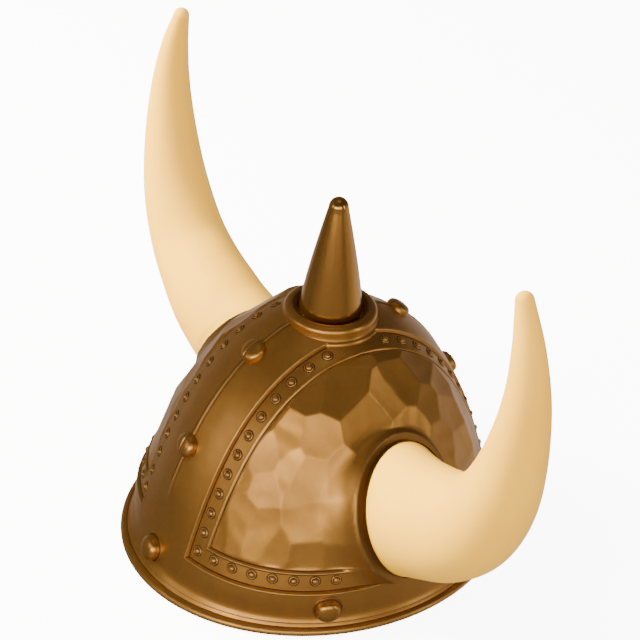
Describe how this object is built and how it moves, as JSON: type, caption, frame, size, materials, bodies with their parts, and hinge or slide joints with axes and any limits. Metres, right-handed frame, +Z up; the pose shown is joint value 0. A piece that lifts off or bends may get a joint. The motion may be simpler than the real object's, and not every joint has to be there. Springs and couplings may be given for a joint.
{
  "type": "spiked viking helmet",
  "caption": "Moulded costume helmet with raised bands, riveted strips, hammered side panels, a crown spike and two curved horns.",
  "frame": {"origin": "centre of the rim on the plane that the helmet rests on", "axes": "+Z up along the spike, -Y towards the front, +X towards the horn on the right as seen from the front"},
  "size_m": [0.381, 0.2296, 0.254],
  "materials": {
    "shell_gold": "satin antique gold paint on moulded plastic",
    "fittings_gold": "satin antique gold paint on moulded plastic",
    "horn_ivory": "smooth satin ivory plastic"
  },
  "bodies": {
    "root": {"shell": "shell_gold", "spike_collar": "fittings_gold", "spike": "fittings_gold", "horn_collar_right": "fittings_gold", "horn_right": "horn_ivory", "horn_collar_left": "fittings_gold", "horn_left": "horn_ivory", "stud_ridge_front_upper": "fittings_gold", "stud_ridge_front_lower": "fittings_gold", "stud_ridge_back_upper": "fittings_gold", "stud_ridge_back_lower": "fittings_gold", "stud_brow_front": "fittings_gold", "stud_brow_front_right": "fittings_gold", "stud_brow_front_left": "fittings_gold", "stud_brow_back": "fittings_gold", "stud_brow_back_right": "fittings_gold", "stud_brow_back_left": "fittings_gold"}
  },
  "joints": []
}
